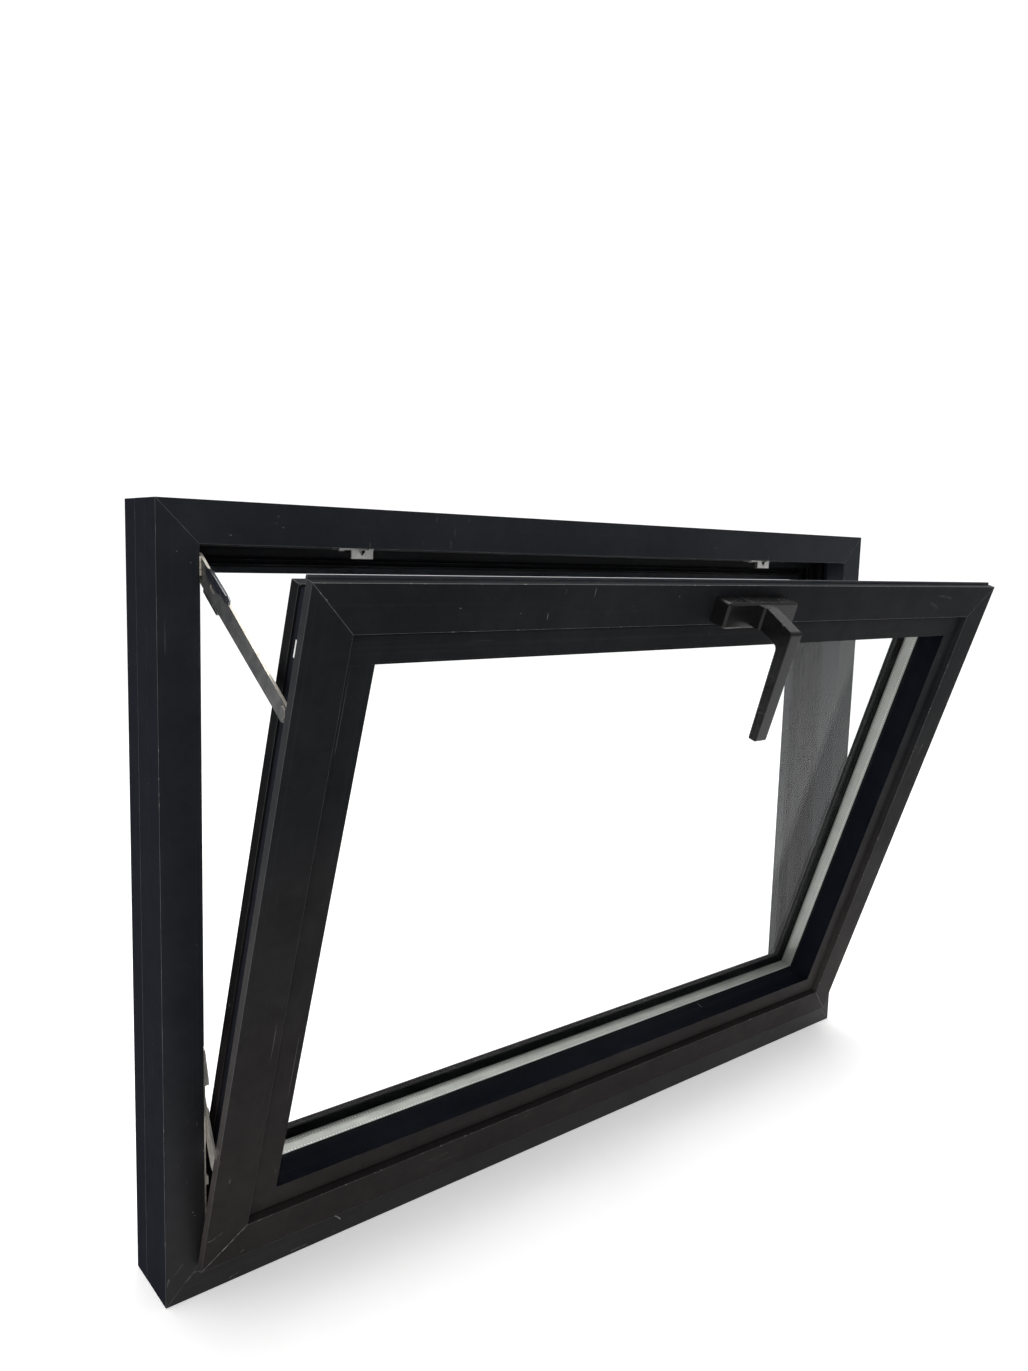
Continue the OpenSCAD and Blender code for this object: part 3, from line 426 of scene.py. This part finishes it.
def glass(name):
    """Clear float glass with a faint film of dust and wiping marks."""
    s = Shader(name, TILT)
    smear = s.remap(s.noise((9.0, 9.0, 3.2), 5, 0.62, 0.9), 0.50, 0.80)
    colour = s.mix(smear, (0.985, 0.992, 0.988), (0.965, 0.972, 0.968))
    s.set(Base_Color=colour, Roughness=0.0)
    s.set(Transmission_Weight=1.0, IOR=1.12)
    s.set(Normal=s.bump(s.noise(1.6, 1, 0.3), 0.0002, 0.25))
    return s.mat


def spacer(name):
    """Mill-finish spacer bar with two rows of tiny slots."""
    s = Shader(name)
    offset = s.add("ShaderNodeVectorMath", operation="SUBTRACT")
    s.tree.links.new(s.coord, offset.inputs[0])
    offset.inputs[1].default_value = HINGE
    turned = s.add("ShaderNodeMapping")
    turned.inputs["Rotation"].default_value = (-TILT, 0, 0)
    s.tree.links.new(offset.outputs[0], turned.inputs["Vector"])
    local = turned.outputs[0]
    depth = s.math("ADD", s.axis(local, 1), AXIS_IN - SPACER_MID)
    across = s.math("ABSOLUTE", depth)
    row = s.remap(s.math("ABSOLUTE", s.math("SUBTRACT", across, SLOT_ROW)), 0.0004, 0.0006, 1, 0)
    run = s.math("ADD", s.axis(local, 0), s.axis(local, 2))
    phase = s.math("FRACT", s.math("DIVIDE", run, SLOT_PITCH))
    tick = s.math("ABSOLUTE", s.math("SUBTRACT", phase, 0.5))
    slots = s.math("MULTIPLY", row, s.remap(tick, 0.20, 0.27, 1, 0))
    groove = s.remap(s.math("ABSOLUTE", s.math("SUBTRACT", across, SLOT_ROW)), 0.0006, 0.0009, 1, 0)
    cloud = s.remap(s.noise(30.0, 4, 0.6), 0.35, 0.7)
    colour = s.mix(cloud, (0.40, 0.41, 0.38), (0.50, 0.51, 0.475))
    # painted shade: the groove along each slot row is darkened
    colour = s.mix(s.math("MULTIPLY", groove, 0.35), colour, (0.34, 0.345, 0.33))
    colour = s.mix(slots, colour, (0.92, 0.92, 0.90))
    fine = s.noise((900.0, 900.0, 900.0), 3)
    s.set(Base_Color=colour, Metallic=0.35, Roughness=s.remap(fine, 0.3, 0.7, 0.26, 0.42))
    relief = s.math("ADD", s.math("MULTIPLY", groove, -1.0), s.math("MULTIPLY", fine, 0.05))
    s.set(Normal=s.bump(relief, 0.0003, 0.6))
    return s.mat


# ---------- mesh building ----------


def piece(name, bm, mats, body, replaced, smooth=35):
    """A finished piece from a bmesh that is already in place."""
    mesh = bpy.data.meshes.new(name)
    bm.normal_update()
    bm.to_mesh(mesh)
    bm.free()
    for m in mats:
        mesh.materials.append(m)
    mesh.polygons.foreach_set("use_smooth", [True] * len(mesh.polygons))
    mesh.set_sharp_from_angle(angle=math.radians(smooth))
    obj = bpy.data.objects.new(name, mesh)
    bpy.context.scene.collection.objects.link(obj)
    mod = obj.modifiers.new("even_shading", "WEIGHTED_NORMAL")
    mod.keep_sharp = True
    mod.weight = 60
    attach(obj, body)
    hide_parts(*replaced)
    return obj


def lever_rim(edge):
    """Edges between a lever's side and its outline, away from the spindle socket."""
    side = [v.co for v in edge.verts]
    half = max(abs(c.x) for c in side)
    socket = Vector((0, -AXIS_IN - SOCKET_OUT, HANDLE_V - AXIS_UP))
    inner = HINGE + Matrix.Rotation(TILT, 3, "X") @ socket
    away = Matrix.Rotation(-TILT, 3, "X") @ (side[0] - inner)
    other = Matrix.Rotation(-TILT, 3, "X") @ (side[1] - inner)
    return half > LEVER_HALF and min(away.y, other.y) < 0.0


def bevel_sharp(bm, width, angle, segments, shortest, material, choose):
    bm.normal_update()
    limit = math.radians(angle)
    edges = [
        e
        for e in bm.edges
        if len(e.link_faces) == 2
        and e.calc_face_angle(0.0) > limit
        and e.calc_length() > shortest
        and (choose is None or choose(e))
    ]
    bmesh.ops.bevel(
        bm, geom=edges, offset=width, offset_type="OFFSET", segments=segments,
        profile=0.6, affect="EDGES", clamp_overlap=True, material=material,
    )


def rounded(node, width, mats, shortest=0.0025, segments=2, angle=30, choose=None):
    """The CAD node with its sharp edges rounded; the roundings take the second material."""
    bm = bmesh.new()
    bm.from_mesh(NODES[node].data)
    bmesh.ops.remove_doubles(bm, verts=bm.verts, dist=2e-6)
    bmesh.ops.dissolve_limit(
        bm, angle_limit=math.radians(0.4), use_dissolve_boundaries=False,
        verts=bm.verts, edges=bm.edges,
    )
    bevel_sharp(bm, width, angle, segments, shortest, len(mats) - 1, choose)
    body = NODES[node]["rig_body"]
    return piece(node + ".round", bm, mats, body, [node])


# ---------- materials ----------

FRAME_TONE = (0.0130, 0.0145, 0.0180)
SASH_TONE = (0.0110, 0.0116, 0.0128)
FRAME_LOW_TONE = (0.0185, 0.0168, 0.0170)
FRAME_BAND = (0.02, 0.28)
SASH_LOW_TONE = (0.0220, 0.0192, 0.0190)
SASH_IOR = 1.25
BEAD_SHADE = (0.0050, 0.0060, 0.0095)
FACE_Y = FRAME_FRONT
SASH_SHIFT = Matrix.Rotation(-TILT, 4, "X") @ HINGE + Vector((0, -AXIS_IN, -AXIS_UP))


FLANGE_BACK = SASH_SHIFT.y + FLANGE_THICK


def path(points, width, weight, place):
    """A scratch through (across, up) points, as strokes of a coat."""
    spots = [place(*point) for point in points]
    return [(a, b, width, weight) for a, b in zip(spots, spots[1:])]


def speck(x, up, place, width=0.5, weight=0.8):
    return path([(x, up), (x + 0.0007, up - 0.0004)], width, weight, place)


def on_frame(x, z):
    return Vector((x, FACE_Y, z))


def on_sash(x, v):
    return SASH_SHIFT + Vector((x, 0, v))


JAMB_MARKS = (
    path([(-0.4924, 0.0197), (-0.4901, 0.0257)], 1.2, 0.16, on_frame)
    + path([(-0.4861, 0.0273), (-0.4774, 0.0358)], 0.9, 0.09, on_frame)
    + path([(-0.4856, 0.6944), (-0.4776, 0.6854)], 0.35, 0.16, on_frame)
    + speck(-0.4685, 0.0812, on_frame, 0.45, 0.5)
    + speck(-0.4666, 0.0773, on_frame, 0.4, 0.35)
    + speck(-0.4763, 0.6579, on_frame, 0.35, 0.4)
    + speck(-0.4647, 0.6487, on_frame, 0.35, 0.5)
    + speck(-0.4579, 0.1352, on_frame, 0.5, 1.0)
)
LEVEL_MARKS = (
    path([(-0.4749, 0.0175), (-0.4710, 0.0205), (-0.4671, 0.0235)], 0.55, 0.30, on_frame)
    + path([(-0.4671, 0.0235), (-0.4613, 0.0222)], 0.4, 0.38, on_frame)
    + path([(-0.4840, 0.0092), (-0.4740, 0.0209)], 0.8, 0.07, on_frame)
    + path([(-0.4344, 0.0033), (-0.4269, 0.0048)], 0.5, 0.25, on_frame)
    + path([(-0.3734, 0.0032), (-0.3574, 0.0032)], 0.7, 0.20, on_frame)
    + path([(-0.3276, 0.0208), (-0.3235, 0.0180), (-0.3202, 0.0141)], 0.7, 0.75, on_frame)
    + speck(-0.3274, 0.0048, on_frame, 0.5, 0.4)
    + path([(-0.2956, 0.6692), (-0.2955, 0.6640)], 0.55, 0.22, on_frame)
    + path([(0.2886, 0.6698), (0.2891, 0.6644)], 0.5, 0.20, on_frame)
    + speck(-0.3872, 0.6895, on_frame, 0.5, 0.35)
    + speck(-0.3886, 0.6838, on_frame, 0.45, 0.25)
    + speck(-0.3824, 0.6801, on_frame, 0.5, 0.4)
    + speck(-0.4302, 0.6721, on_frame, 0.5, 0.5)
    + speck(0.1859, 0.6779, on_frame, 0.5, 0.5)
)
STILE_MARKS = (
    path([(-0.4650, 0.0003), (-0.4268, 0.0385)], 0.60, 1.0, on_sash)
    + path([(-0.4632, 0.0364), (-0.4588, 0.0367)], 0.4, 0.42, on_sash)
    + path([(-0.4588, 0.0367), (-0.4553, 0.0390), (-0.4508, 0.0416)], 0.4, 0.42, on_sash)
    + path([(-0.4646, 0.6437), (-0.4528, 0.6320)], 0.45, 0.40, on_sash)
    + path([(-0.4271, 0.0712), (-0.4236, 0.0707)], 0.5, 0.4, on_sash)
    + path([(0.4640, 0.6430), (0.4470, 0.6260)], 0.35, 0.20, on_sash)
)
RAIL_MARKS = (
    path([(-0.4650, 0.0003), (-0.4268, 0.0385)], 0.60, 1.0, on_sash)
    + path([(-0.4285, 0.0060), (-0.4261, 0.0073)], 0.5, 0.3, on_sash)
    + path([(-0.2300, 0.0240), (-0.2050, 0.0242)], 0.35, 0.16, on_sash)
    + path([(-0.2250, 0.0215), (-0.2100, 0.0216)], 0.35, 0.10, on_sash)
    + path([(-0.1200, 0.0300), (-0.0900, 0.0304)], 0.3, 0.12, on_sash)
    + path([(-0.4646, 0.6437), (-0.4528, 0.6320)], 0.45, 0.40, on_sash)
    + speck(-0.4528, 0.6318, on_sash, 0.8, 1.0)
    + speck(-0.1017, 0.6335, on_sash, 0.5, 0.4)
    + speck(-0.3393, 0.6249, on_sash, 0.5, 0.5)
    + speck(-0.2799, 0.6199, on_sash, 0.4, 0.3)
    + path([(0.3300, 0.6240), (0.3480, 0.6180)], 2.2, 0.05, on_sash)
    + path([(0.3420, 0.6330), (0.3700, 0.6300)], 1.6, 0.06, on_sash)
    + path([(0.4640, 0.6430), (0.4470, 0.6260)], 0.35, 0.20, on_sash)
)

FRAME_COAT = {"wrapped": True, "low_band": FRAME_BAND}
SASH_COAT = {"level": 0.05, "ior": SASH_IOR}
BEAD_COAT = {"shine": 0.36, "shade_tone": BEAD_SHADE, **SASH_COAT}
frame_tones = (FRAME_TONE, FRAME_LOW_TONE)
sash_tones = (SASH_TONE, SASH_LOW_TONE)
frame_x = coat("frame_coat_across", *frame_tones, "x", marks=LEVEL_MARKS, **FRAME_COAT)
frame_z = coat("frame_coat_upright", *frame_tones, "z", marks=JAMB_MARKS, **FRAME_COAT)
sash_x = coat("sash_coat_across", *sash_tones, "x", TILT, marks=RAIL_MARKS, **SASH_COAT)
sash_z = coat(
    "sash_coat_upright", *sash_tones, "z", TILT, marks=STILE_MARKS, painted_side_gain=2.1, **SASH_COAT
)
bead_x = coat("bead_coat_across", *sash_tones, "x", TILT, **BEAD_COAT)
bead_z = coat("bead_coat_upright", *sash_tones, "z", TILT, **BEAD_COAT)
frame_edge = coat_edge("frame_coat_edge", FRAME_TONE, 0.10, 0.8)
# painted highlight: the left jamb's edges get a lighter tone than the other frame edges
jamb_edge_highlight = coat_edge("jamb_coat_edge_highlight", (0.020, 0.020, 0.021), 0.34, 1.6)
sash_edge = coat_edge("sash_coat_edge", SASH_TONE)
# painted shade: the left stile's edges get a near-black tone
stile_edge_shade = coat_edge("stile_coat_edge_shade", (0.004, 0.004, 0.005), 0.02, 0.4)

PLAIN = {
    "thermal_plastic": skin("polyamide"),
    "cleat_aluminium": metal("pressed_aluminium", grey(0.62), 0.42, 1, "x"),
    "seal_rubber": rubber("seal", 0.0045),
    "glazing_rubber": rubber("glazing_seal", 0.006, 0.55, TILT),
    "cap_plastic": plastic("drain_plastic", grey(0.03), 0.45),
    "keep_zinc": keep_plate("bright_zinc"),
    "screw_steel": metal("screw_zinc", grey(0.58, 0.03), 0.32, 1, "x"),
    "bracket_zinc": metal("bracket_zinc", (0.92, 0.85, 0.70), 0.38, 1, dirt=0.2, metallic=0.6),
    "hinge_steel": metal("stainless", (0.78, 0.74, 0.68), 0.36, 2, dirt=0.25, metallic=0.6),
    "pin_steel": metal("turned_steel", grey(0.50), 0.28, 1),
    "clear_glass": glass("float_glass"),
    "spacer_aluminium": spacer("spacer_bar"),
    "sealant_rubber": rubber("sealant", 0.008),
    "block_plastic": plastic("block_plastic", grey(0.05), 0.5, TILT),
    "rest_block_zinc": metal("block_zinc", grey(0.86), 0.40, 1, metallic=0.6),
    "handle_coat": handle_coat("handle_enamel", 0.0060, 0.5, 0.20, 0.22),
    "base_zinc": metal("die_cast_zinc", grey(0.40), 0.45, 1),
    "rod_zinc": metal("rod_aluminium", grey(0.50), 0.34, 1, "x", TILT),
    "cam_steel": metal("cam_steel", grey(0.62), 0.28, 1),
    "arm_steel": arm_strip("arm_zinc_highlight_and_shade"),
    "clip_zinc": metal("dark_plating", (0.040, 0.044, 0.056), 0.30, 1, dirt=0.3, metallic=0.6),
    "slider_zinc": metal("slider_zinc", grey(0.45), 0.40, 1),
}
bright_edge = metal("polished_edge", (0.66, 0.62, 0.56), 0.30, 1, dirt=0.1, metallic=0.6)
dark_edge = metal("rubbed_plating", grey(0.42), 0.26, 1, dirt=0.2)
lip_rubber = rubber("dusty_lip", 0.030, 0.5, TILT)

for node, obj in NODES.items():
    obj.data.materials.clear()
    obj.data.materials.append(PLAIN.get(SLOT_OF[node], frame_x))
NODES["sash_overlap_gasket"].data.materials[0] = lip_rubber

# ---------- profiles ----------

PROFILES = {
    "frame_head": (frame_x, frame_edge), "frame_sill": (frame_x, frame_edge),
    "frame_jamb_left": (frame_z, jamb_edge_highlight), "frame_jamb_right": (frame_z, frame_edge),
    "sash_top_rail": (sash_x, sash_edge), "sash_bottom_rail": (sash_x, sash_edge),
    "sash_stile_left": (sash_z, stile_edge_shade), "sash_stile_right": (sash_z, sash_edge),
    "bead_top": (bead_x, sash_edge), "bead_bottom": (bead_x, sash_edge),
    "bead_left": (bead_z, sash_edge), "bead_right": (bead_z, sash_edge),
}
for node, mats in PROFILES.items():
    rounded(node, 0.35 * MM, mats, shortest=0.0018)

HARDWARE = {
    "keep_left": 0.6, "keep_right": 0.6, "stay_bracket": 0.35,
    "hinge_plate_left": 0.35, "hinge_plate_right": 0.35, "hinge_leaf_left": 0.35,
    "hinge_leaf_right": 0.35, "stay_rest_block": 0.6, "stay_arm": 0.7,
    "friction_link_left": 0.3, "friction_link_right": 0.3,
}
for node, width in HARDWARE.items():
    rounded(node, width * MM, (PLAIN[SLOT_OF[node]], bright_edge), shortest=0.0012)
for node in ("stay_clip", "stay_guide"):
    rounded(node, 0.3 * MM, (PLAIN["clip_zinc"], dark_edge), shortest=0.0012)

# ---------- handle ----------

enamel = PLAIN["handle_coat"]
enamel_edge = handle_coat("handle_enamel_edge", 0.012, 0.2, 0.16, 0.6)
rounded("handle_lever", 2.3 * MM, (enamel,), shortest=0.0004, segments=4, choose=lever_rim)
rounded("handle_cover", 0.9 * MM, (enamel, enamel_edge), shortest=0.003, segments=3, angle=24)

# ---------- stage, lights and camera ----------

stage = bpy.data.meshes.new("floor")
bm = bmesh.new()
bmesh.ops.create_circle(bm, cap_ends=True, segments=96, radius=16)
bm.to_mesh(stage)
bm.free()
floor = bpy.data.objects.new("floor", stage)
floor.location = (0, 0, -0.0004)
bpy.context.scene.collection.objects.link(floor)
pale = Shader("pale_floor")
pale.set(Base_Color=pale.mix(pale.noise(1.3, 3), (0.93, 0.93, 0.925), (0.95, 0.95, 0.945)))
pale.set(Roughness=0.8, Specular_IOR_Level=0.0)
glow = pale.remap(pale.axis(pale.coord, 1), -1.1, -0.5, 0.02, 0.34)
pale.set(Emission_Color=(1.0, 1.0, 1.0), Emission_Strength=glow)
stage.materials.append(pale.mat)

world = bpy.data.worlds.new("studio")
bpy.context.scene.world = world
world.use_nodes = True
wt = world.node_tree
back = wt.nodes["Background"]
direction = wt.nodes.new("ShaderNodeTexCoord").outputs["Generated"]
split = wt.nodes.new("ShaderNodeSeparateXYZ")
wt.links.new(direction, split.inputs[0])
ramp = wt.nodes.new("ShaderNodeMapRange")
ramp.inputs["From Min"].default_value = -0.55
ramp.inputs["From Max"].default_value = 0.15
ramp.inputs["To Min"].default_value = 0.30
ramp.inputs["To Max"].default_value = 1.10
wt.links.new(split.outputs[1], ramp.inputs["Value"])
wt.links.new(ramp.outputs[0], back.inputs["Strength"])
back.inputs["Color"].default_value = (1.0, 1.0, 1.0, 1.0)


def softbox(name, place, target, size, power):
    data = bpy.data.lights.new(name, "AREA")
    data.shape = "RECTANGLE"
    data.size, data.size_y = size
    data.energy = power
    obj = bpy.data.objects.new(name, data)
    obj.location = place
    obj.rotation_euler = (Vector(target) - Vector(place)).to_track_quat("-Z", "Y").to_euler()
    bpy.context.scene.collection.objects.link(obj)


softbox("key", (-1.6, -2.4, 2.6), (0, 0, 0.3), (1.6, 1.2), 26)
softbox("top", (0.4, 0.4, 3.0), (0, 0, 0.3), (2.4, 2.4), 34)
softbox("strip", (0.2, -0.3, 2.2), (0, -0.2, 0.6), (0.8, 0.3), 9)

# camera: fitted viewpoint, 36 mm along the taller side
PITCH, TURN, ROLL = 0.1262, -0.6861, 0.0298
EYE = Vector((-0.79689, -0.83834, 0.66364))
LENS = 27.28
spin = (
    Matrix.Rotation(ROLL, 3, "Z") @ Matrix.Rotation(PITCH, 3, "X") @ Matrix.Rotation(TURN, 3, "Y")
)
view = spin @ Matrix(((1, 0, 0), (0, 0, -1), (0, 1, 0)))
lens = bpy.data.cameras.new("camera")
lens.sensor_width = 36
lens.sensor_fit = "AUTO"
lens.lens = LENS
lens.clip_start = 0.02
camera = bpy.data.objects.new("camera", lens)
right, up, away = view[0], -view[1], -view[2]
camera.matrix_world = Matrix.Translation(EYE) @ Matrix((right, up, away)).transposed().to_4x4()
bpy.context.scene.collection.objects.link(camera)
bpy.context.scene.camera = camera
bpy.context.scene.view_settings.view_transform = "Standard"
